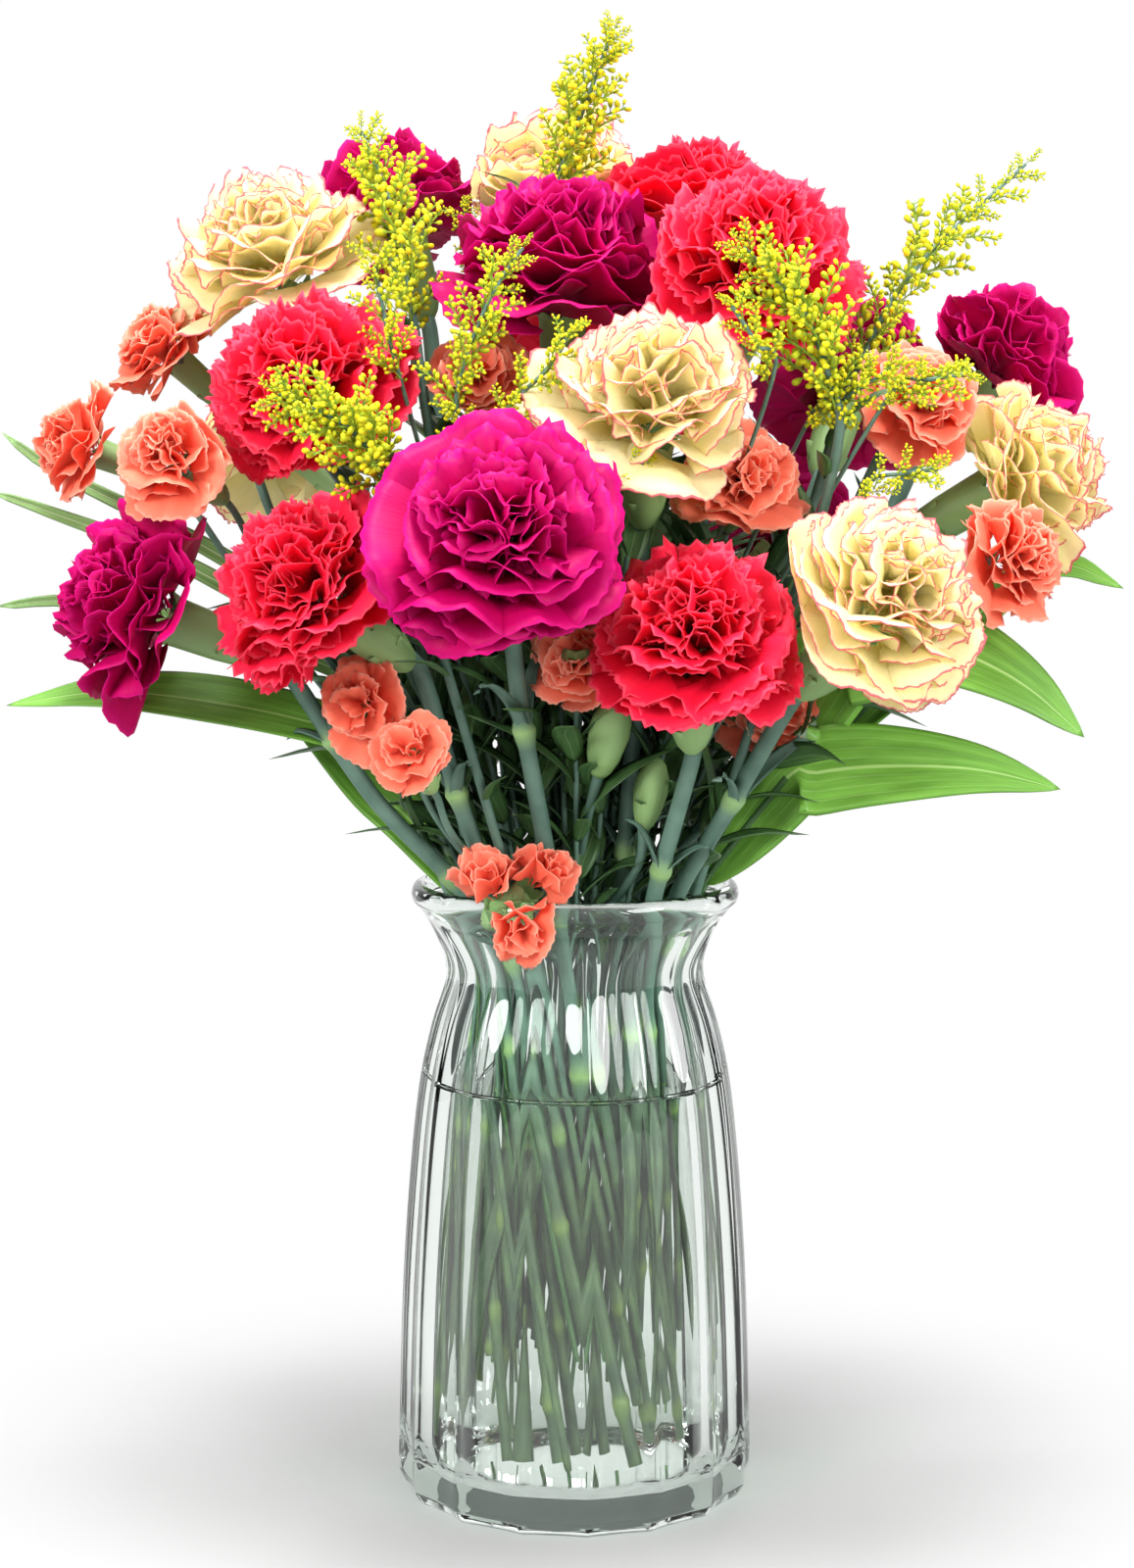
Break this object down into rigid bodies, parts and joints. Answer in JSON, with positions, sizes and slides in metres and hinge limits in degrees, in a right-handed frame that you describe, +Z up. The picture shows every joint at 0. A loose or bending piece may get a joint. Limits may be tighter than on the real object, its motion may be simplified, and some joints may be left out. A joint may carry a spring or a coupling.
{
  "type": "carnations in a vase",
  "caption": "Mixed bunch of carnations, spray carnations, goldenrod and broad leaves standing in a clear fluted glass vase with a flared lip.",
  "frame": {"origin": "centre of the flat underside of the vase, on the surface that it stands on", "axes": "+Z straight up along the vase's axis and the long way of the object; the front of the bunch faces -Y, so +X is to the right seen from the front"},
  "size_m": [0.3544, 0.295, 0.4726],
  "materials": {
    "vase_glass": "polished",
    "cream_petals": "matte",
    "magenta_petals": "matte",
    "red_petals": "matte",
    "coral_petals": "matte",
    "carnation_green": "matte",
    "goldenrod_florets": "matte",
    "leaf_green": "satin"
  },
  "bodies": {
    "root": {"vase": "vase_glass", "cream_carnation_1_stem": "carnation_green", "cream_carnation_1_bloom": "cream_petals", "cream_carnation_2_stem": "carnation_green", "cream_carnation_2_bloom": "cream_petals", "cream_carnation_3_stem": "carnation_green", "cream_carnation_3_bloom": "cream_petals", "cream_carnation_4_stem": "carnation_green", "cream_carnation_4_bloom": "cream_petals", "cream_carnation_5_stem": "carnation_green", "cream_carnation_5_bloom": "cream_petals", "cream_carnation_6_stem": "carnation_green", "cream_carnation_6_bloom": "cream_petals", "magenta_carnation_1_stem": "carnation_green", "magenta_carnation_1_bloom": "magenta_petals", "magenta_carnation_2_stem": "carnation_green", "magenta_carnation_2_bloom": "magenta_petals", "magenta_carnation_3_stem": "carnation_green", "magenta_carnation_3_bloom": "magenta_petals", "magenta_carnation_4_stem": "carnation_green", "magenta_carnation_4_bloom": "magenta_petals", "magenta_carnation_5_stem": "carnation_green", "magenta_carnation_5_bloom": "magenta_petals", "magenta_carnation_6_stem": "carnation_green", "magenta_carnation_6_bloom": "magenta_petals", "magenta_carnation_7_stem": "carnation_green", "magenta_carnation_7_bloom": "magenta_petals", "red_carnation_1_stem": "carnation_green", "red_carnation_1_bloom": "red_petals", "red_carnation_2_stem": "carnation_green", "red_carnation_2_bloom": "red_petals", "red_carnation_3_stem": "carnation_green", "red_carnation_3_bloom": "red_petals", "red_carnation_4_stem": "carnation_green", "red_carnation_4_bloom": "red_petals", "red_carnation_5_stem": "carnation_green", "red_carnation_5_bloom": "red_petals", "red_carnation_6_stem": "carnation_green", "red_carnation_6_bloom": "red_petals", "spray_1_stem": "carnation_green", "spray_2_stem": "carnation_green", "spray_3_stem": "carnation_green", "spray_4_stem": "carnation_green", "coral_bloom_1": "coral_petals", "coral_bloom_2": "coral_petals", "coral_bloom_3": "coral_petals", "coral_bloom_4": "coral_petals", "coral_bloom_5": "coral_petals", "coral_bloom_6": "coral_petals", "coral_bloom_7": "coral_petals", "coral_bloom_8": "coral_petals", "goldenrod_1": "goldenrod_florets", "goldenrod_2": "goldenrod_florets", "goldenrod_3": "goldenrod_florets", "goldenrod_4": "goldenrod_florets", "goldenrod_5": "goldenrod_florets", "broad_leaf_1": "leaf_green", "broad_leaf_2": "leaf_green", "broad_leaf_3": "leaf_green", "broad_leaf_4": "leaf_green"}
  },
  "joints": []
}
